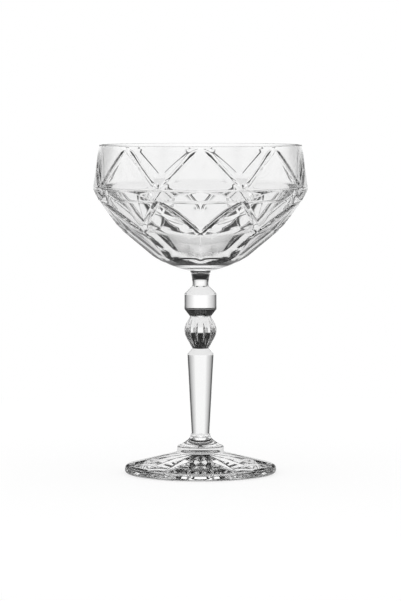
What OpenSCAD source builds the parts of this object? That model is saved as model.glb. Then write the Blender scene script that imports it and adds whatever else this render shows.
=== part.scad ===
// Stemmed coupe glass in clear glass: facet-cut bowl, round neck, two cut knops, tapered stem and foot.
// The pieces are fused end to end at flat joint faces on one axis.
// Origin on the table under the axis, +Z up. A flat side of every eight-sided piece faces -Y.

/* [Bowl outside] */
// Height of the bowl from its joint with the neck up to the rim
bowl_h = 67; // [62:0.5:76]
// Outer radius of the round rim
rim_r = 54; // [48:0.5:60]
// Height of the plain lip above the facets
lip_h = 1.2; // [0.6:0.1:3]
// Radius of the rounded edge of the rim
rim_edge_r = 0.6; // [0.3:0.05:0.7]
// Height of the girdle, the widest level of the bowl, above the joint
girdle_z = 44.2; // [40:0.1:50]
// How far the girdle stands out past the rim
girdle_swell = 3.1; // [2:0.1:5]
// Height of the upright belt left under the girdle at the tops of the lower triangles
belt_h = 0.7; // [0.4:0.1:2]
// Height of the upright belt left under the girdle at the tops of the kites
kite_drop = 6; // [4:0.1:8]
// Height of the points of the lower triangles above the joint
point_z = 21.8; // [19:0.1:25]
// How far those points lie inside the girdle
point_inset = 14.9; // [13:0.1:17]
// Radius at which the round underside leaves the kites
underside_r = 27; // [23:0.5:32]
// Height of the round underside at that radius
underside_h = 8.6; // [7:0.1:9.5]

/* [Bowl inside] */
// Wall at the rim
rim_wall = 1.6; // [1.3:0.1:2.2]
// Wall at the girdle
girdle_wall = 2.5; // [2:0.1:5]
// How far the shoulder of the cavity lies below the girdle
shoulder_drop = 0.2; // [0:0.1:3]
// How far the middle of the cavity's cone lies inside its shoulder
waist_inset = 16.6; // [15:0.1:19]
// Height of that middle above the points of the lower triangles
waist_rise = 2.7; // [2:0.1:5]
// How far the edge of the floor lies inside the middle of the cone
floor_inset = 22; // [20:0.1:25]
// Thickness of the glass under the floor
floor_t = 9.2; // [8:0.1:12]
// Rounding between the wall of the cavity and its cone
shoulder_round = 1.5; // [1:0.5:6]
// Rounding in the middle of the cone
waist_round = 40; // [20:1:50]
// Rounding between the cone and the floor
floor_round = 12; // [6:0.5:14]

/* [Neck] */
// Height of the neck
neck_h = 8.5; // [6:0.5:14]
// Radius of the joint between the bowl and the neck
neck_top_r = 5.6; // [5:0.1:7]
// Radius of the neck at its waist
neck_waist_r = 4.4; // [3.6:0.1:4.8]
// Height of the waist above the lower joint
neck_waist_z = 1.8; // [1:0.1:3]

/* [Upper knop] */
// Height of the upper knop
upper_knop_h = 16; // [12:0.5:22]
// Distance from the axis to its flat sides
upper_knop_r = 8.7; // [7.5:0.1:11]
// Height of its upper bevel
upper_knop_top_bevel = 3.9; // [2.5:0.1:5]
// Height of its lower bevel
upper_knop_low_bevel = 4.1; // [2.5:0.1:5]
// Distance from the axis to the flat sides at the joint with the neck
upper_joint_r = 4.7; // [4.2:0.1:6]
// Distance from the axis to the flat sides at the joint between the knops
middle_joint_r = 5.5; // [4.5:0.1:6.5]

/* [Lower knop] */
// Height of the lower knop
lower_knop_h = 17; // [13:0.5:22]
// Radius of its round belt
lower_knop_r = 8.6; // [7.5:0.1:11]
// Height of the belt
lower_knop_belt = 4.2; // [2:0.1:5]
// Height of the middle of the belt above the lower joint
lower_knop_belt_z = 9.8; // [7.5:0.1:10]
// Number of flat cuts round it
lower_knop_cuts = 10; // [8:2:14]
// Depth of the cuts at the belt
lower_knop_cut = 0.5; // [0.3:0.05:0.8]
// Depth of the cuts at the joints
lower_knop_end_cut = 0.2; // [0.1:0.05:0.3]
// Radius at the joint with the stem
stem_joint_r = 4.3; // [3.8:0.1:5]

/* [Stem] */
// Height of the stem
stem_h = 46; // [30:1:80]
// Distance from the axis to the flat sides at the shoulder
stem_shoulder_r = 7.1; // [6:0.1:9]
// Height of the bevel above the shoulder
stem_bevel = 3.1; // [2:0.1:5]
// Distance from the axis to the flat sides at the foot
stem_low_r = 4.7; // [4:0.1:6]

/* [Foot] */
// Outer radius of the foot
foot_r = 40.4; // [36:0.2:46]
// Height of the foot up to its joint with the stem
foot_h = 20.5; // [18:0.5:26]
// Height of the round edge of the foot
foot_edge_h = 3.6; // [3:0.1:5]
// Radius of the rounding of that edge
foot_edge_round = 1.5; // [0.8:0.1:1.7]
// Radius of the boss in the middle of the foot
boss_r = 12.4; // [10:0.1:16]
// Height of the shoulder of the boss above the table
boss_z = 14.6; // [13.5:0.1:16]
// Height of the foot where it meets the boss
boss_low_z = 10.9; // [9.5:0.1:12]
// Rounding of the shoulder of the boss
boss_round = 1; // [0.4:0.1:1.4]
// Radius of the stem end of the flare on the boss
flare_top_r = 5.2; // [5.1:0.1:7]
// Width of the flat ring that the glass stands on
stand_w = 4.4; // [2:0.1:6]
// Height of the hollow under the foot
hollow_h = 2.4; // [1.5:0.1:4]

/* [Star under the foot] */
// Number of rays
star_rays = 16; // [8:1:24]
// Share of the room between its neighbours that a ray fills where it is widest
star_share = 0.95; // [0.5:0.05:0.95]
// Depth of a ray where it is widest
star_depth = 2.2; // [1:0.1:2.8]
// Distance from the axis to the inner points of the rays
star_inner_r = 5; // [3:0.5:8]
// Distance from the axis to where the rays are widest
star_wide_r = 14; // [11:0.5:20]
// How far the outer points of the rays end short of the stand ring
star_margin = 1.5; // [0.8:0.1:5]

/* [Hidden] */
$fn = 96;

// Flat sides round the axis of the bowl, the upper knop and the stem
sides = 8;
side_step = 360 / sides;
half_step = side_step / 2;

// Turn that sets a flat side towards the front for any even number of sides
front_turn = 90;

// Points in one rounded corner, in the rounded edge of the rim and in one curved stretch of an outline
corner_steps = 10;
edge_steps = 4;
curve_steps = 16;

// Reach of a cut past the solid, and reach of a ray's cutter below the roof of the hollow
overrun = 4;
ray_skin = 0.1;

// Points round the rim and the girdle, counted for one of the eight sides
arc_steps = 12;
ring_steps = sides * arc_steps;

// Levels of the joint faces above the table
stem_z = foot_h;
lower_knop_z = stem_z + stem_h;
upper_knop_z = lower_knop_z + lower_knop_h;
neck_z = upper_knop_z + upper_knop_h;
bowl_z = neck_z + neck_h;

// Bowl levels and radii that follow from its driving sizes
lip_z = bowl_h - lip_h;
girdle_r = rim_r + girdle_swell;
triangle_top_z = girdle_z - belt_h;
kite_top_z = girdle_z - kite_drop;
point_r = girdle_r - point_inset;
kite_point_r = point_r * cos(half_step);
blank_r = girdle_r + overrun;
underside_curve = 1.5;

// Levels and radii of the cavity
cavity_r = rim_r - rim_wall;
shoulder_r = girdle_r - girdle_wall;
shoulder_z = girdle_z - shoulder_drop;
waist_r = shoulder_r - waist_inset;
waist_z = point_z + waist_rise;
floor_r = waist_r - floor_inset;

// Foot radii that follow from its driving sizes
stand_r = foot_r - foot_edge_round;
hollow_r = stand_r - stand_w;

// Unit vector from one point to another
function toward(a, b) = (b - a) / norm(b - a);

// Points of the arc that rounds the corner b between the points a and c
function rounded(a, b, c, r, steps = corner_steps) =
    let (
        u = toward(b, a),
        v = toward(b, c),
        half = acos(u * v) / 2,
        reach = r / tan(half),
        middle = b + toward([0, 0], u + v) * r / sin(half),
        start = b + u * reach - middle,
        end = b + v * reach - middle,
        from = atan2(start[1], start[0]),
        turn = atan2(end[1], end[0]) - from,
        sweep = turn > 180 ? turn - 360 : turn < -180 ? turn + 360 : turn
    )
    [for (i = [0 : steps]) let (t = from + sweep * i / steps) middle + r * [cos(t), sin(t)]];

// Solid with flat sides, from the half outline of its sides as points of distance from the axis and height
module flat_sided(half_outline, turn = 0, count = sides) {
    step = 360 / count;
    mirrored = [for (i = [len(half_outline) - 1 : -1 : 0]) [-half_outline[i][0], half_outline[i][1]]];
    reach = 2 * max([for (p = half_outline) p[0]]) / cos(step / 2);
    intersection_for (i = [0 : count / 2 - 1])
        rotate([0, 0, turn + i * step])
            rotate([90, 0, 0])
                linear_extrude(height = reach, center = true)
                    polygon(concat(half_outline, mirrored));
}

// Points of a circle round the axis
function ring(r, z) = [
    for (i = [0 : ring_steps - 1])
        let (a = i * 360 / ring_steps)
        [r * cos(a), r * sin(a), z]
];

// Bowl with its upper facets: triangles that stand on the girdle with their points at the rim,
// and triangles that hang from the rim with their points at the girdle.
// Each is a fan from its point to an arc, so rim and girdle stay round,
// and the straight folds between the triangles lie a little below them.
// Under the girdle it is a plain belt.
module folded_band() {
    half_arc = arc_steps / 2;
    outline = concat(
        [[girdle_r, 0], [girdle_r, girdle_z], [rim_r, lip_z]],
        rounded([rim_r, lip_z], [rim_r, bowl_h], [0, bowl_h], rim_edge_r, edge_steps)
    );
    top = (len(outline) - 1) * ring_steps;
    girdle = ring_steps;
    rim = girdle + ring_steps;
    low_cap = [for (i = [ring_steps - 1 : -1 : 0]) i];
    top_cap = [for (i = [0 : ring_steps - 1]) top + i];
    belt_and_lip = [
        for (low = [0 : ring_steps : top - ring_steps], i = [0 : ring_steps - 1])
            let (high = low + ring_steps, next = (i + 1) % ring_steps)
            if (low != girdle) [low + next, low + i, high + i, high + next]
    ];
    standing = [
        for (side = [0 : sides - 1], i = [-half_arc : half_arc - 1])
            let (k = side * arc_steps, from = (k + i + ring_steps) % ring_steps)
            [girdle + (from + 1) % ring_steps, girdle + from, rim + k]
    ];
    hanging = [
        for (side = [0 : sides - 1], i = [0 : arc_steps - 1])
            let (k = side * arc_steps)
            [girdle + k + half_arc, rim + k + i, rim + (k + i + 1) % ring_steps]
    ];
    polyhedron(
        [for (p = outline) each ring(p[0], p[1])],
        concat([low_cap, top_cap], belt_and_lip, standing, hanging)
    );
}

// Flat cuts under the girdle: the lower triangles, and the kites between them
module lower_cuts() {
    triangle_slope = point_inset / (triangle_top_z - point_z);
    kite_slope = (girdle_r - kite_point_r) / (kite_top_z - point_z);
    intersection() {
        flat_sided([
            [point_r - triangle_slope * point_z, 0],
            [girdle_r + triangle_slope * (bowl_h - triangle_top_z), bowl_h]
        ]);
        flat_sided([
            [kite_point_r - kite_slope * point_z, 0],
            [girdle_r + kite_slope * (bowl_h - kite_top_z), bowl_h]
        ], half_step);
    }
}

// Round blank with the shallow underside of the bowl
module underside_blank() {
    reach = blank_r - neck_top_r;
    span = underside_r - neck_top_r;
    underside = [
        for (i = [0 : curve_steps])
            let (t = i / curve_steps)
            [neck_top_r + t * reach, underside_h * pow(t * reach / span, underside_curve)]
    ];
    rotate_extrude()
        polygon(concat([[0, 0]], underside, [[blank_r, bowl_h + overrun], [0, bowl_h + overrun]]));
}

// Hollow of the bowl: a wall that follows the girdle out, a rounded shoulder, a cone and a dished floor
module cavity() {
    top = [cavity_r, bowl_h + overrun];
    shoulder = [shoulder_r, shoulder_z];
    waist = [waist_r, waist_z];
    floor_edge = [floor_r, floor_t];
    middle = [0, floor_t];
    rotate_extrude()
        polygon(concat(
            [[0, bowl_h + overrun], top],
            rounded(top, shoulder, waist, shoulder_round),
            rounded(shoulder, waist, floor_edge, waist_round),
            rounded(waist, floor_edge, middle, floor_round),
            [middle]
        ));
}

module bowl() {
    color("aliceblue", 0.35)
        translate([0, 0, bowl_z])
            difference() {
                intersection() {
                    folded_band();
                    lower_cuts();
                    underside_blank();
                }
                cavity();
            }
}

module neck() {
    span = neck_h - neck_waist_z;
    side = [
        for (i = [0 : curve_steps])
            let (z = neck_h * i / curve_steps, t = (z - neck_waist_z) / span)
            [neck_waist_r + (neck_top_r - neck_waist_r) * t * t, z]
    ];
    color("aliceblue", 0.35)
        translate([0, 0, neck_z])
            rotate_extrude()
                polygon(concat([[0, 0]], side, [[0, neck_h]]));
}

module upper_knop() {
    color("aliceblue", 0.35)
        translate([0, 0, upper_knop_z])
            flat_sided([
                [middle_joint_r, 0],
                [upper_knop_r, upper_knop_low_bevel],
                [upper_knop_r, upper_knop_h - upper_knop_top_bevel],
                [upper_joint_r, upper_knop_h]
            ]);
}

// Round knop with flat cuts, which leave round wedges between them
module lower_knop() {
    belt_low_z = lower_knop_belt_z - lower_knop_belt / 2;
    belt_top_z = lower_knop_belt_z + lower_knop_belt / 2;
    belt_flat_r = lower_knop_r - lower_knop_cut;
    color("aliceblue", 0.35)
        translate([0, 0, lower_knop_z])
            intersection() {
                rotate_extrude()
                    polygon([
                        [0, 0],
                        [stem_joint_r, 0],
                        [lower_knop_r, belt_low_z],
                        [lower_knop_r, belt_top_z],
                        [middle_joint_r, lower_knop_h],
                        [0, lower_knop_h]
                    ]);
                flat_sided([
                    [stem_joint_r - lower_knop_end_cut, 0],
                    [belt_flat_r, belt_low_z],
                    [belt_flat_r, belt_top_z],
                    [middle_joint_r - lower_knop_end_cut, lower_knop_h]
                ], front_turn, lower_knop_cuts);
            }
}

module stem() {
    color("aliceblue", 0.35)
        translate([0, 0, stem_z])
            flat_sided([
                [stem_low_r, 0],
                [stem_shoulder_r, stem_h - stem_bevel],
                [stem_joint_r, stem_h]
            ]);
}

// Round body of the foot with its boss, before the hollow and the star are cut
module foot_blank() {
    flare = [
        for (i = [0 : curve_steps])
            let (t = i / curve_steps)
            [flare_top_r + (boss_r - boss_round - flare_top_r) * t * t, foot_h - (foot_h - boss_z) * t]
    ];
    boss_top = [boss_r, boss_z];
    boss_foot = [boss_r, boss_low_z];
    edge_top = [foot_r, foot_edge_h];
    edge_low = [foot_r, 0];
    middle = [0, 0];
    rotate_extrude()
        polygon(concat(
            [middle, [0, foot_h]],
            flare,
            rounded([boss_r - boss_round - boss_round, boss_z], boss_top, boss_foot, boss_round),
            [boss_foot],
            rounded(boss_foot, edge_top, edge_low, foot_edge_round),
            rounded(edge_top, edge_low, middle, foot_edge_round)
        ));
}

// Height of the roof of the hollow at a distance from the axis, before the star is cut
function roof_z(r) = hollow_h * (hollow_r - r) / (hollow_r - star_inner_r);

// One ray of the star: a groove with a sharp ridge, which comes to a point at both ends
module star_ray() {
    grow = (star_depth + ray_skin) / star_depth;
    half_w = star_share * star_wide_r * tan(180 / star_rays) * grow;
    inner_r = star_wide_r - (star_wide_r - star_inner_r) * grow;
    outer_r = star_wide_r + (hollow_r - star_margin - star_wide_r) * grow;
    side_z = roof_z(star_wide_r) - ray_skin;
    polyhedron(
        [
            [inner_r, 0, hollow_h - ray_skin],
            [outer_r, 0, roof_z(outer_r) - ray_skin],
            [star_wide_r, half_w, side_z],
            [star_wide_r, -half_w, side_z],
            [star_wide_r, 0, roof_z(star_wide_r) + star_depth]
        ],
        [[0, 1, 2], [0, 3, 1], [0, 2, 4], [2, 1, 4], [1, 3, 4], [3, 0, 4]]
    );
}

// Dished hollow under the foot, with the rays of the star pressed into its roof
module foot_hollow() {
    rotate_extrude()
        polygon([
            [0, -overrun],
            [hollow_r, -overrun],
            [hollow_r, 0],
            [star_inner_r, hollow_h],
            [0, hollow_h]
        ]);
    for (i = [0 : star_rays - 1])
        rotate([0, 0, (i + 0.5) * 360 / star_rays])
            star_ray();
}

module foot() {
    color("aliceblue", 0.35)
        difference() {
            foot_blank();
            foot_hollow();
        }
}

bowl();
neck();
upper_knop();
lower_knop();
stem();
foot();
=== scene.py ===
import math

import bpy
import numpy as np
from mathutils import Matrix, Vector


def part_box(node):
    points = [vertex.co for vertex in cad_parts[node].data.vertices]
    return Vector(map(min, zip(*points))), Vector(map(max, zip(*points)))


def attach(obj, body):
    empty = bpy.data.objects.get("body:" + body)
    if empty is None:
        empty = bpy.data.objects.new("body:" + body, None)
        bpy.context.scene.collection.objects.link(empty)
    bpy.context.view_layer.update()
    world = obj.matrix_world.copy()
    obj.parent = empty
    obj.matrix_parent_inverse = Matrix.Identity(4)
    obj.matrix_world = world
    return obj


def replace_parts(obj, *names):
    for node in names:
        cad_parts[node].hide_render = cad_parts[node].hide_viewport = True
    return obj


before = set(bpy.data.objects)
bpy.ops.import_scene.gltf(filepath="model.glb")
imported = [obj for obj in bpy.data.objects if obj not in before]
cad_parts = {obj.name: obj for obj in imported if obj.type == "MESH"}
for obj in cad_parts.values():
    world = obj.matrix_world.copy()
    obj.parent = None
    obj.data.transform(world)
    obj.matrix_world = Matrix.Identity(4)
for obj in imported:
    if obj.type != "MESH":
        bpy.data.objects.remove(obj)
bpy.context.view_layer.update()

# Lengths are in millimetres unless a comment says metres, and MM turns them into metres
MM = 0.001


def levels(node):
    """Lowest and highest level of a CAD node in millimetres."""
    low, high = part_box(node)
    return low[2] / MM, high[2] / MM


def half_width(node):
    """Half the width of a CAD node across its flat sides or its diameter in millimetres."""
    low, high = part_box(node)
    return (high[0] - low[0]) / 2 / MM


# Levels of the joints, heights and main radii, read from the CAD parts in model.glb
STEM_Z = levels("foot")[1]
LOWER_KNOP_Z, UPPER_KNOP_Z = levels("lower_knop")
NECK_Z, BOWL_Z = levels("neck")
STEM_H = LOWER_KNOP_Z - STEM_Z
LOWER_KNOP_H = UPPER_KNOP_Z - LOWER_KNOP_Z
UPPER_KNOP_H = NECK_Z - UPPER_KNOP_Z
NECK_H = BOWL_Z - NECK_Z
BOWL_H = levels("bowl")[1] - BOWL_Z
GIRDLE_R = half_width("bowl")
FOOT_R = half_width("foot")
UPPER_KNOP_R = half_width("upper_knop")
STEM_R = half_width("stem")
NECK_TOP_R = half_width("neck")

# Eight sides, with a flat side or the point of an upper triangle towards the camera
SIDES = 8
STEP = 2 * math.pi / SIDES

# Bowl outside, with heights above its joint
GIRDLE_SWELL = 3.1
RIM_R = GIRDLE_R - GIRDLE_SWELL
LIP_H = 1.2
LIP_Z = BOWL_H - LIP_H
RIM_EDGE = 0.6
RIM_INNER_EDGE = 0.5
GIRDLE_Z = 44.2
BELT_H = 0.7
KITE_DROP = 6
KITE_TOP_Z = GIRDLE_Z - KITE_DROP
POINT_Z = 21.8
POINT_INSET = 14.9
POINT_R = GIRDLE_R - POINT_INSET
UNDERSIDE_R = 27
UNDERSIDE_H = 8.6
UNDERSIDE_CURVE = 1.5

# Relief of the upper band: hollow triangles, and grooves along the folds that fade at both ends
PANEL_DEPTH = 0.3
FOLD_GROOVE = 0.6
FOLD_W = 0.9
FOLD_START = 3
FOLD_FADE = 4

# Relief under the girdle: grooves along the V lines, kites raised beside them and a ring line at their tops
CUT_GROOVE = 1.5
CUT_W = 0.75
CUT_BELOW = 1
CUT_START = 2
CUT_FADE = 2
CUT_RISE = 1
CUT_RISE_W = 1.6
RECOVERY = 8
LINE_RIB = 0.2
LINE_W = 0.35

# Distance across an edge for each unit along the ring, and the smallest angle of an edge from a middle
EDGE_LEAN = 0.68
TIP = math.radians(0.7)

# Heights over which the edge columns drift below the points, above the kites' tops and below the girdle
DRIFT_BELOW_POINT = 9
DRIFT_ABOVE_KITE = 2.5
DRIFT_BELOW_GIRDLE = 1

# Bowl inside
RIM_WALL = 1.6
CAVITY_R = RIM_R - RIM_WALL
GIRDLE_WALL = 2.5
SHOULDER_R = GIRDLE_R - GIRDLE_WALL
SHOULDER_DROP = 0.2
SHOULDER_Z = GIRDLE_Z - SHOULDER_DROP
WAIST_INSET = 16.6
WAIST_R = SHOULDER_R - WAIST_INSET
WAIST_RISE = 2.7
WAIST_Z = POINT_Z + WAIST_RISE
FLOOR_INSET = 22
DISH_R = WAIST_R - FLOOR_INSET
FLOOR_T = 9.2
SHOULDER_ROUND = 1.5
WAIST_ROUND = 40
FLOOR_ROUND = 12

# Neck, knops and stem, where the cuts hide the lower knop's radius from its box
NECK_WAIST_R = 4.4
NECK_WAIST_Z = 1.8
UPPER_TOP_BEVEL = 3.9
UPPER_LOW_BEVEL = 4.1
UPPER_JOINT_R = 4.7
MIDDLE_JOINT_R = 5.5
LOWER_KNOP_R = 8.6
BELT_LOW_Z = 7.7
BELT_HIGH_Z = 11.9
BELT_CUT = 0.9
KNOP_CUTS = 10
CUT_STEP = 2 * math.pi / KNOP_CUTS
FRONT_TURN = math.radians(90)
STEM_JOINT_R = 4.3
STEM_BEVEL = 3.1
STEM_LOW_R = 4.7

# Foot and the star under it
EDGE_H = 3.6
EDGE_ROUND = 1.5
BOSS_R = 12.4
BOSS_Z = 14.6
BOSS_LOW_Z = 10.9
BOSS_ROUND = 1
FLARE_TOP_R = 5.2
STAND_R = FOOT_R - EDGE_ROUND
STAND_W = 4.4
HOLLOW_R = STAND_R - STAND_W
HOLLOW_H = 2.4
STAND_GAP = 0.02
STAR_RAYS = 16
RAY_STEP = 2 * math.pi / STAR_RAYS
STAR_SHARE = 0.95
STAR_DEPTH = 2.2
STAR_INNER_R = 5
STAR_WIDE_R = 14
STAR_MARGIN = 1.5
STAR_TIP_R = HOLLOW_R - STAR_MARGIN
STAR_HALF_W = STAR_SHARE * STAR_WIDE_R * math.tan(RAY_STEP / 2)

# Share of the smaller end face that is a fused joint, short of the very edge
JOINT_SHARE = 0.998

# Softness of the fire-polished edges, swell of the flat sides and hollow of the knop's cuts
CUT_SOFT = 0.1
KNOP_SOFT = 0.12
BELT_SOFT = 0.5
LOWER_SOFT = 0.04
STAR_SOFT = 0.06
SWELL = 0.2
CUT_HOLLOW = 0.5
SHARP_ANGLE = math.radians(40)

# Columns of points in half of one of the eight sides, and how they crowd towards an edge
BOWL_COLUMNS = 26
KNOP_COLUMNS = 20
FOOT_COLUMNS = 40
CROWDING = 1.6

# Even columns round the whole of the lower knop
BELT_COLUMNS = 240

# Levels and numbers of rings up the outside of the bowl, closest round the girdle
JOINT_RING_Z = 0.15
UNDERSIDE_RINGS = 16
SIDE_LOW_Z = 9.2
SIDE_HIGH_Z = 36
SIDE_RINGS = 50
GIRDLE_LOW_Z = 36.3
GIRDLE_HIGH_Z = 46
GIRDLE_RINGS = 36
BAND_LOW_Z = 46.4
BAND_RINGS = 40

# Steps in the arcs and straight stretches of the cavity, and rings over which its columns even out
RIM_STEPS = 6
CAVITY_STEPS = 8
CONE_STEPS = 4
DISH_STEPS = 3
EVEN_RINGS = 20

# Rings of the stem, with closer ones in the zone of its bevel, of the neck and of the knops
STEM_RINGS = 30
BEVEL_ZONE = 5
BEVEL_GAP = 0.2
NECK_RINGS = 20
KNOP_RINGS = 90

# Rings and steps of the foot
CENTRE_R = 0.6
CENTRE_RINGS = 5
RAY_GAP = 0.7
RAY_RINGS = 40
EDGE_STEPS = 10
SLOPE_STEPS = 14
BOSS_STEPS = 8
FLARE_STEPS = 16


def soft_min(values, soft):
    """Smallest of several arrays, with the corners between them rounded."""
    stack = np.stack(np.broadcast_arrays(*values))
    lowest = stack.min(axis=0)
    return lowest - soft * np.log(np.exp(-(stack - lowest) / soft).sum(axis=0))


def soft_max(values, soft):
    """Largest of several arrays, with the corners between them rounded."""
    return -soft_min([-np.asarray(v) for v in values], soft)


def columns(edge, count):
    """Angles round the axis, which crowd in each half side towards an edge at that angle from its middle."""
    share = np.linspace(0, 1, count // 2 + 1)
    before = edge * (1 - (1 - share) ** CROWDING)
    after = edge + (STEP / 2 - edge) * share ** CROWDING
    half_side = np.concatenate([before, after[1:]])
    side = np.concatenate([-half_side[:0:-1], half_side[:-1]])
    return np.concatenate([i * STEP + side for i in range(SIDES)])


def from_nearest(theta, turn=0.0, step=STEP):
    """Angle from the middle of the nearest side, where sides lie a step apart and are turned by turn."""
    return (theta - turn + step / 2) % step - step / 2


def flat_sides(theta, distance, soft, turn=0.0, step=STEP, swell=0.0):
    """Radius of an outline of flat, swollen or hollow sides that far from the axis, with soft corners."""
    near = np.abs(from_nearest(theta, turn, step))
    share = 1 - swell
    return soft_min([distance / np.cos(near * share), distance / np.cos((step - near) * share)], soft)


def line(z, low, high):
    """Radius at height z on the straight line through two points of radius and height."""
    return low[0] + (z - low[1]) * (high[0] - low[0]) / (high[1] - low[1])


def rounded(a, b, c, radius, steps):
    """Points of the arc that rounds the corner b between a and c, as radius and height."""
    a, b, c = (np.array(p, float) for p in (a, b, c))
    u = (a - b) / np.linalg.norm(a - b)
    v = (c - b) / np.linalg.norm(c - b)
    half = math.acos(float(u @ v)) / 2
    middle = b + (u + v) / np.linalg.norm(u + v) * radius / math.sin(half)
    start = b + u * radius / math.tan(half) - middle
    end = b + v * radius / math.tan(half) - middle
    first = math.atan2(start[1], start[0])
    sweep = (math.atan2(end[1], end[0]) - first + math.pi) % (2 * math.pi) - math.pi
    turns = [first + sweep * i / steps for i in range(steps + 1)]
    return [tuple(middle + radius * np.array((math.cos(t), math.sin(t)))) for t in turns]


def straight(a, b, steps):
    """Points between a and b, without either."""
    return [tuple(np.array(a) + (np.array(b) - np.array(a)) * i / steps) for i in range(1, steps)]


def shelf(off, width):
    """Rise from 0 to 1 over a width beside an edge, and a slow fall beyond it."""
    share = np.clip(off / width, 0, 1)
    return share ** 2 * (3 - 2 * share) * np.exp(-np.maximum(off - width, 0) / RECOVERY)


def bell(off, width):
    """Smooth peak of 1 at an edge, which dies away over a width on both sides."""
    return np.exp(-(off / width) ** 2)


def loft(name, rings, joints, materials):
    """Closed solid through rings of (angles, radii, heights), from a middle point to a middle point.

    joints holds the bands of faces, counted from the first middle point, that are fused joint faces.
    """
    count = len(rings)
    steps = len(rings[0][0])
    points = np.zeros((count * steps + 2, 3))
    for i, (theta, radii, heights) in enumerate(rings):
        ring = points[i * steps:(i + 1) * steps]
        ring[:, 0] = radii * np.cos(theta)
        ring[:, 1] = radii * np.sin(theta)
        ring[:, 2] = heights
    low, high = count * steps, count * steps + 1
    points[low, 2] = np.mean(rings[0][2])
    points[high, 2] = np.mean(rings[-1][2])
    pairs = [(i, (i + 1) % steps) for i in range(steps)]
    faces = [(low, b, a) for a, b in pairs]
    for base in range(0, low - steps, steps):
        above = base + steps
        faces += [(base + a, base + b, above + b, above + a) for a, b in pairs]
    top = low - steps
    faces += [(high, top + a, top + b) for a, b in pairs]
    mesh = bpy.data.meshes.new(name)
    mesh.from_pydata((points * MM).tolist(), [], faces)
    for material in materials:
        mesh.materials.append(material)
    fused = {band % (count + 1) for band in joints}
    mesh.polygons.foreach_set("material_index", [int(i // steps in fused) for i in range(len(faces))])
    mesh.polygons.foreach_set("use_smooth", [True] * len(faces))
    mesh.update()
    mesh.set_sharp_from_angle(angle=SHARP_ANGLE)
    piece = bpy.data.objects.new(name, mesh)
    bpy.context.scene.collection.objects.link(piece)
    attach(piece, "root")
    return piece


def stacked(theta, radius, heights, base):
    """Rings of a piece whose radius is a function of angle and height above its lower joint."""
    return [(theta, radius(theta, z), base + z) for z in heights]


def with_joints(rings, low_joint, high_joint):
    """Rings with the outline of the joint face added at each end."""
    low, high = rings[0], rings[-1]
    low_r = np.minimum(low[1], low_joint) * JOINT_SHARE
    high_r = np.minimum(high[1], high_joint) * JOINT_SHARE
    return [(low[0], low_r, low[2])] + rings + [(high[0], high_r, high[2])]


# Bowl

def bowl_edge(z):
    """Angle from the middle of a side to the edge of its facets at a height above the joint."""
    far = STEP / 2 - TIP
    drift_low = POINT_Z - DRIFT_BELOW_POINT
    belt_low = KITE_TOP_Z + DRIFT_ABOVE_KITE
    belt_high = GIRDLE_Z - DRIFT_BELOW_GIRDLE
    return np.interp(
        z,
        [drift_low, POINT_Z, KITE_TOP_Z, belt_low, belt_high, GIRDLE_Z, LIP_Z],
        [STEP / 4, TIP, far, STEP / 3, STEP / 3, far, TIP])


def bowl_radius(theta, z):
    """Outer radius of the bowl at a height above its joint."""
    near = np.abs(from_nearest(theta))
    far = STEP / 2 - near
    share = float(np.clip((z - GIRDLE_Z) / (LIP_Z - GIRDLE_Z), 0, 1))
    wall = GIRDLE_R + (RIM_R - GIRDLE_R) * share
    panel = STEP / 2 - bowl_edge(max(z, GIRDLE_Z))
    hollow = PANEL_DEPTH * math.sin(math.pi * share)
    band = wall - hollow * np.maximum(1 - (far / panel) ** 2, 0)
    triangle = line(z, (POINT_R, POINT_Z), (GIRDLE_R, GIRDLE_Z - BELT_H))
    kite = line(z, (POINT_R * math.cos(STEP / 2), POINT_Z), (GIRDLE_R, KITE_TOP_Z))
    facets = soft_min([band, triangle / np.cos(near), kite / np.cos(far)], CUT_SOFT)
    off_edge = min(wall, triangle) * (near - bowl_edge(z)) * EDGE_LEAN
    fold = np.interp(z, [GIRDLE_Z, GIRDLE_Z + FOLD_START, LIP_Z - FOLD_FADE, LIP_Z], [0, 1, 1, 0])
    cut = np.interp(
        z, [POINT_Z - CUT_BELOW, POINT_Z + CUT_START, KITE_TOP_Z - CUT_FADE, KITE_TOP_Z], [0, 1, 1, 0])
    grooves = FOLD_GROOVE * fold * bell(off_edge, FOLD_W) + CUT_GROOVE * cut * bell(off_edge, CUT_W)
    rise = CUT_RISE * cut * shelf(off_edge, CUT_RISE_W) + LINE_RIB * bell(z - KITE_TOP_Z, LINE_W)
    climb = (max(z, 0) / UNDERSIDE_H) ** (1 / UNDERSIDE_CURVE)
    underside = NECK_TOP_R + (UNDERSIDE_R - NECK_TOP_R) * climb
    return soft_min([facets + rise - grooves, underside], CUT_SOFT)


def cavity_outline():
    """Points of the rim and the cavity, from the outer edge of the rim in to the floor."""
    rim = (RIM_R, BOWL_H)
    top = (CAVITY_R, BOWL_H)
    shoulder = (SHOULDER_R, SHOULDER_Z)
    waist = (WAIST_R, WAIST_Z)
    floor_edge = (DISH_R, FLOOR_T)
    middle = (0, FLOOR_T)
    rim_arc = rounded((RIM_R, LIP_Z), rim, top, RIM_EDGE, RIM_STEPS)
    inner_arc = rounded(rim, top, (CAVITY_R, LIP_Z), RIM_INNER_EDGE, RIM_STEPS)
    shoulder_arc = rounded(top, shoulder, waist, SHOULDER_ROUND, CAVITY_STEPS)
    waist_arc = rounded(shoulder, waist, floor_edge, WAIST_ROUND, CAVITY_STEPS)
    floor_arc = rounded(waist, floor_edge, middle, FLOOR_ROUND, CAVITY_STEPS)
    outline = rim_arc + inner_arc
    outline += straight(inner_arc[-1], shoulder_arc[0], CAVITY_STEPS) + shoulder_arc
    outline += straight(shoulder_arc[-1], waist_arc[0], CONE_STEPS) + waist_arc
    outline += straight(waist_arc[-1], floor_arc[0], CONE_STEPS) + floor_arc
    return outline + straight(floor_arc[-1], middle, DISH_STEPS)


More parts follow.
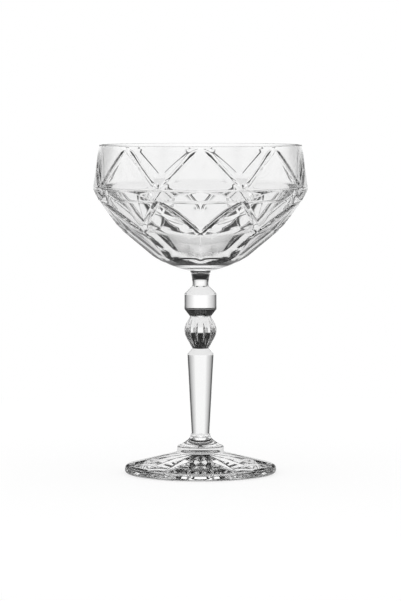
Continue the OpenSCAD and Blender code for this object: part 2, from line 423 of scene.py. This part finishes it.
def bowl_rings():
    """Rings from the joint up the outside of the bowl and down its cavity."""
    joint = columns(STEP / 4, BOWL_COLUMNS)
    rings = [(joint, NECK_TOP_R + 0 * joint, BOWL_Z)]
    heights = np.concatenate([
        JOINT_RING_Z + UNDERSIDE_H * np.linspace(0, 1, UNDERSIDE_RINGS) ** 2,
        np.linspace(SIDE_LOW_Z, SIDE_HIGH_Z, SIDE_RINGS)[1:],
        np.linspace(GIRDLE_LOW_Z, GIRDLE_HIGH_Z, GIRDLE_RINGS),
        np.linspace(BAND_LOW_Z, LIP_Z, BAND_RINGS),
    ])
    for z in heights:
        theta = columns(float(bowl_edge(z)), BOWL_COLUMNS)
        rings.append((theta, bowl_radius(theta, z), BOWL_Z + z))
    for i, (r, z) in enumerate(cavity_outline()):
        even = min(1, i / EVEN_RINGS)
        theta = columns(TIP + (STEP / 4 - TIP) * even, BOWL_COLUMNS)
        rings.append((theta, r + 0 * theta, BOWL_Z + z))
    return rings


# Neck, knops and stem

def neck_radius(theta, z):
    """Radius of the round waisted neck."""
    share = (z - NECK_WAIST_Z) / (NECK_H - NECK_WAIST_Z)
    return NECK_WAIST_R + (NECK_TOP_R - NECK_WAIST_R) * share ** 2 + 0 * theta


def upper_knop_radius(theta, z):
    """Radius of the eight-sided knop with a bevel above and below."""
    low = line(z, (MIDDLE_JOINT_R, 0), (UPPER_KNOP_R, UPPER_LOW_BEVEL))
    high = line(z, (UPPER_KNOP_R, UPPER_KNOP_H - UPPER_TOP_BEVEL), (UPPER_JOINT_R, UPPER_KNOP_H))
    distance = soft_min([UPPER_KNOP_R, low, high], KNOP_SOFT)
    return flat_sides(theta, distance, KNOP_SOFT, swell=SWELL)


def lower_knop_radius(theta, z):
    """Radius of the round knop with hollow cuts, which leave round wedges between them."""
    low = line(z, (STEM_JOINT_R, 0), (LOWER_KNOP_R, BELT_LOW_Z))
    high = line(z, (LOWER_KNOP_R, BELT_HIGH_Z), (MIDDLE_JOINT_R, LOWER_KNOP_H))
    body = soft_min([LOWER_KNOP_R, low, high], BELT_SOFT)
    depth = np.interp(z, [0, BELT_LOW_Z, BELT_HIGH_Z, LOWER_KNOP_H], [0, BELT_CUT, BELT_CUT, 0])
    cuts = flat_sides(theta, body - depth, LOWER_SOFT, FRONT_TURN, CUT_STEP, -CUT_HOLLOW)
    return soft_min([body, cuts], LOWER_SOFT)


def stem_radius(theta, z):
    """Radius of the eight-sided tapered stem with the bevel at its top."""
    shoulder = (STEM_R, STEM_H - STEM_BEVEL)
    side = line(z, (STEM_LOW_R, 0), shoulder)
    bevel = line(z, shoulder, (STEM_JOINT_R, STEM_H))
    return flat_sides(theta, soft_min([side, bevel], KNOP_SOFT), KNOP_SOFT, swell=SWELL)


def neck_rings(theta):
    """Rings of the neck from joint to joint."""
    rings = stacked(theta, neck_radius, np.linspace(0, NECK_H, NECK_RINGS), NECK_Z)
    return with_joints(rings, neck_radius(theta, 0), NECK_TOP_R)


def upper_knop_rings(theta):
    """Rings of the upper knop from joint to joint."""
    rings = stacked(theta, upper_knop_radius, np.linspace(0, UPPER_KNOP_H, KNOP_RINGS), UPPER_KNOP_Z)
    return with_joints(rings, lower_knop_radius(theta, LOWER_KNOP_H), neck_radius(theta, 0))


def lower_knop_rings(theta):
    """Rings of the lower knop from joint to joint."""
    rings = stacked(theta, lower_knop_radius, np.linspace(0, LOWER_KNOP_H, KNOP_RINGS), LOWER_KNOP_Z)
    return with_joints(rings, stem_radius(theta, STEM_H), upper_knop_radius(theta, 0))


def stem_rings(theta):
    """Rings of the stem from joint to joint, closer at its bevel."""
    zone = STEM_H - BEVEL_ZONE
    heights = np.concatenate([
        np.linspace(0, zone, STEM_RINGS),
        np.linspace(zone + BEVEL_GAP, STEM_H, STEM_RINGS),
    ])
    rings = stacked(theta, stem_radius, heights, STEM_Z)
    return with_joints(rings, FLARE_TOP_R, lower_knop_radius(theta, 0))


# Foot

def roof(theta, r):
    """Height of the hollow under the foot, with the rays of the star."""
    plain = HOLLOW_H * np.clip((HOLLOW_R - r) / (HOLLOW_R - STAR_INNER_R), 0, 1)
    off = from_nearest(theta, RAY_STEP / 2, RAY_STEP)
    along = r * np.cos(off)
    rise = (along - STAR_INNER_R) / (STAR_WIDE_R - STAR_INNER_R)
    fall = (STAR_TIP_R - along) / (STAR_TIP_R - STAR_WIDE_R)
    ray = STAR_DEPTH * (np.minimum(rise, fall) - np.abs(r * np.sin(off)) / STAR_HALF_W)
    return plain + soft_max([0 * theta, ray], STAR_SOFT)


def foot_outline():
    """Points of the foot from the stand ring out to its edge and up to the joint with the stem."""
    edge_top = (FOOT_R, EDGE_H)
    edge_low = (FOOT_R, 0)
    boss_top = (BOSS_R, BOSS_Z)
    boss_low = (BOSS_R, BOSS_LOW_Z)
    boss_flat = (BOSS_R - 2 * BOSS_ROUND, BOSS_Z)
    low_arc = rounded((HOLLOW_R, 0), edge_low, edge_top, EDGE_ROUND, EDGE_STEPS)
    top_arc = rounded(edge_low, edge_top, boss_low, EDGE_ROUND, EDGE_STEPS)
    boss_arc = rounded(boss_low, boss_top, boss_flat, BOSS_ROUND, BOSS_STEPS)
    outline = [(HOLLOW_R + STAND_GAP, 0)] + low_arc + top_arc
    outline += straight(top_arc[-1], boss_low, SLOPE_STEPS) + [boss_low] + boss_arc
    flare_r = BOSS_R - BOSS_ROUND - FLARE_TOP_R
    flare_h = STEM_Z - BOSS_Z
    shares = [1 - i / FLARE_STEPS for i in range(1, FLARE_STEPS + 1)]
    return outline + [(FLARE_TOP_R + flare_r * t ** 2, STEM_Z - flare_h * t) for t in shares]


def foot_rings():
    """Rings from the middle of the star out to the edge and up to the joint with the stem."""
    theta = columns(STEP / 4, FOOT_COLUMNS)
    hollow = np.concatenate([
        np.linspace(CENTRE_R, STAR_INNER_R, CENTRE_RINGS),
        np.linspace(STAR_INNER_R + RAY_GAP, HOLLOW_R, RAY_RINGS),
    ])
    rings = [(theta, r + 0 * theta, roof(theta, r)) for r in hollow]
    rings += [(theta, r + 0 * theta, z) for r, z in foot_outline()]
    stem_end = np.minimum(stem_radius(theta, 0), FLARE_TOP_R) * JOINT_SHARE
    return rings + [(theta, stem_end, STEM_Z)]


# Materials

GLASS_IOR = 1.52

# Colour of the floor, and its lift to white for the camera and for rays through glass
FLOOR_PALE = 0.3
FLOOR_LIFT = 0.71
GLASS_LIFT = 0.95

# Painted shadow for glass alone: a dark ring under the foot's edge, and painted shade as shares of the lift
# outside it and in reflections
PAINTED_SHADOW_IN = 39
PAINTED_SHADOW_OUT = 41.5
PAINTED_SHADOW_SOFT = 1
FAR_SHADE = 0.5
GLOSS_SHADE = 0.2


def glass_material():
    """Clear colourless glass."""
    material = bpy.data.materials.new("clear glass")
    material.use_nodes = True
    shader = material.node_tree.nodes["Principled BSDF"]
    shader.inputs["Base Color"].default_value = (1, 1, 1, 1)
    shader.inputs["Roughness"].default_value = 0.0
    shader.inputs["IOR"].default_value = GLASS_IOR
    shader.inputs["Transmission Weight"].default_value = 1.0
    return material


def joint_material():
    """Fused joint face, which can't be seen inside the glass."""
    material = bpy.data.materials.new("fused joint")
    material.use_nodes = True
    shader = material.node_tree.nodes["Principled BSDF"]
    shader.inputs["Alpha"].default_value = 0.0
    return material


def math_node(tree, kind, *values):
    """Output of a math node on numbers and sockets."""
    node = tree.nodes.new("ShaderNodeMath")
    node.operation = kind
    for socket, value in zip(node.inputs, values):
        if isinstance(value, (int, float)):
            socket.default_value = value
        else:
            tree.links.new(value, socket)
    return node.outputs[0]


def ramp(tree, value, low, high, first=0.0, last=1.0):
    """Output of a smooth ramp from first at low to last at high."""
    node = tree.nodes.new("ShaderNodeMapRange")
    node.interpolation_type = "SMOOTHSTEP"
    tree.links.new(value, node.inputs["Value"])
    node.inputs["From Min"].default_value = low
    node.inputs["From Max"].default_value = high
    node.inputs["To Min"].default_value = first
    node.inputs["To Max"].default_value = last
    return node.outputs["Result"]


def floor_material():
    """Floor that is white to the camera out of shadow, and shows glass a painted shadow ring under the
    foot's edge and painted shade beyond it.
    """
    material = bpy.data.materials.new("pale floor")
    material.use_nodes = True
    tree = material.node_tree
    shader = tree.nodes["Principled BSDF"]
    shader.inputs["Base Color"].default_value = (FLOOR_PALE, FLOOR_PALE, FLOOR_PALE, 1)
    shader.inputs["Specular IOR Level"].default_value = 0.0
    shader.inputs["Emission Color"].default_value = (1, 1, 1, 1)
    path = tree.nodes.new("ShaderNodeLightPath")
    place = tree.nodes.new("ShaderNodeNewGeometry")
    length = tree.nodes.new("ShaderNodeVectorMath")
    length.operation = "LENGTH"
    tree.links.new(place.outputs["Position"], length.inputs[0])
    distance = length.outputs["Value"]
    # Painted shadow: the lift for glass rays is full under the foot, falls to nothing in a ring under its
    # edge and rises to FAR_SHADE beyond
    inside = ramp(tree, distance, (PAINTED_SHADOW_IN - PAINTED_SHADOW_SOFT) * MM, PAINTED_SHADOW_IN * MM, 1.0, 0.0)
    outside = ramp(tree, distance, PAINTED_SHADOW_OUT * MM, (PAINTED_SHADOW_OUT + PAINTED_SHADOW_SOFT) * MM, 0.0, FAR_SHADE)
    shade = math_node(tree, "MAXIMUM", inside, outside)
    # Painted shade in reflections: glossy rays see only GLOSS_SHADE of the floor's lift
    glassy = math_node(
        tree, "MULTIPLY_ADD",
        path.outputs["Is Glossy Ray"], GLOSS_SHADE, path.outputs["Is Transmission Ray"])
    lift = math_node(tree, "MULTIPLY", math_node(tree, "MULTIPLY", glassy, shade), GLASS_LIFT)
    strength = math_node(tree, "MULTIPLY_ADD", path.outputs["Is Camera Ray"], FLOOR_LIFT, lift)
    tree.links.new(strength, shader.inputs["Emission Strength"])
    return material


# The six pieces, each with the bands of its fused joint faces

KNOP_THETA = columns(STEP / 2 - TIP, KNOP_COLUMNS)
BELT_THETA = np.linspace(0, 2 * math.pi, BELT_COLUMNS, endpoint=False)
PIECES = {
    "bowl": (bowl_rings(), [0]),
    "neck": (neck_rings(KNOP_THETA), [0, -1]),
    "upper_knop": (upper_knop_rings(KNOP_THETA), [0, -1]),
    "lower_knop": (lower_knop_rings(BELT_THETA), [0, -1]),
    "stem": (stem_rings(KNOP_THETA), [0, -1]),
    "foot": (foot_rings(), [-1]),
}
MATERIALS = (glass_material(), joint_material())
for node, (rings, joints) in PIECES.items():
    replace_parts(loft(node + "_glass", rings, joints, MATERIALS), node)

# Floor, in metres

FLOOR_R = 0.4
FLOOR_DROP = 0.0002
FLOOR_STEPS = 128
floor_mesh = bpy.data.meshes.new("floor")
turns = [2 * math.pi * i / FLOOR_STEPS for i in range(FLOOR_STEPS)]
floor_mesh.from_pydata(
    [(FLOOR_R * math.cos(t), FLOOR_R * math.sin(t), 0) for t in turns], [], [tuple(range(FLOOR_STEPS))])
floor_mesh.materials.append(floor_material())
floor = bpy.data.objects.new("floor", floor_mesh)
floor.location.z = -FLOOR_DROP
bpy.context.scene.collection.objects.link(floor)

# World: angles in plan over which windows fade into flags, and levels where flags and ceiling begin

FRONT_START = math.radians(13)
FRONT_END = math.radians(50)
SIDE_START = math.radians(9)
SIDE_END = math.radians(45)
LOW_START = math.sin(math.radians(-14))
LOW_END = math.sin(math.radians(-8))
RISE_START = math.sin(math.radians(1))
RISE_END = math.sin(math.radians(5))
FLAG_DEPTH = 0.99


def studio_world():
    """White room of strength 1, in which glass alone sees dark flags between windows and a dark ceiling."""
    world = bpy.data.worlds.new("studio")
    bpy.context.scene.world = world
    world.use_nodes = True
    tree = world.node_tree
    tree.nodes.clear()
    path = tree.nodes.new("ShaderNodeLightPath")
    coords = tree.nodes.new("ShaderNodeTexCoord")
    split = tree.nodes.new("ShaderNodeSeparateXYZ")
    tree.links.new(coords.outputs["Generated"], split.inputs[0])
    x, y, z = split.outputs
    # Angle in plan from the line of the front and back windows, and from the line of the side windows
    off_front = math_node(tree, "ARCTAN2", math_node(tree, "ABSOLUTE", x), math_node(tree, "ABSOLUTE", y))
    off_side = math_node(tree, "SUBTRACT", math.pi / 2, off_front)
    off_window = math_node(
        tree, "MINIMUM",
        ramp(tree, off_front, FRONT_START, FRONT_END),
        ramp(tree, off_side, SIDE_START, SIDE_END))
    flags = math_node(tree, "MULTIPLY", off_window, ramp(tree, z, LOW_START, LOW_END))
    dark = math_node(tree, "MAXIMUM", flags, ramp(tree, z, RISE_START, RISE_END))
    glassy = math_node(tree, "MAXIMUM", path.outputs["Is Glossy Ray"], path.outputs["Is Transmission Ray"])
    shade = math_node(tree, "MULTIPLY", math_node(tree, "MULTIPLY", dark, FLAG_DEPTH), glassy)
    background = tree.nodes.new("ShaderNodeBackground")
    background.inputs["Color"].default_value = (1, 1, 1, 1)
    tree.links.new(math_node(tree, "SUBTRACT", 1.0, shade), background.inputs["Strength"])
    output = tree.nodes.new("ShaderNodeOutputWorld")
    tree.links.new(background.outputs[0], output.inputs["Surface"])


studio_world()

# Camera at the photograph's viewing angle, in metres

CAMERA_DISTANCE = 1.607
CAMERA_HEIGHT = 0.202
AIM_HEIGHT = 0.092
FIELD = math.radians(11.36)
camera_data = bpy.data.cameras.new("camera")
camera_data.sensor_fit = "VERTICAL"
camera_data.angle = FIELD
camera = bpy.data.objects.new("camera", camera_data)
camera.location = (0, -CAMERA_DISTANCE, CAMERA_HEIGHT)
aim = Vector((0, 0, AIM_HEIGHT)) - camera.location
camera.rotation_euler = aim.to_track_quat("-Z", "Y").to_euler()
bpy.context.scene.collection.objects.link(camera)
bpy.context.scene.camera = camera

# Enough bounces for light to cross every wall of the glass
BOUNCES = 24
bpy.context.scene.view_settings.view_transform = "Standard"
bpy.context.scene.cycles.max_bounces = BOUNCES
bpy.context.scene.cycles.transmission_bounces = BOUNCES
bpy.context.scene.cycles.glossy_bounces = BOUNCES
bpy.context.scene.cycles.transparent_max_bounces = BOUNCES
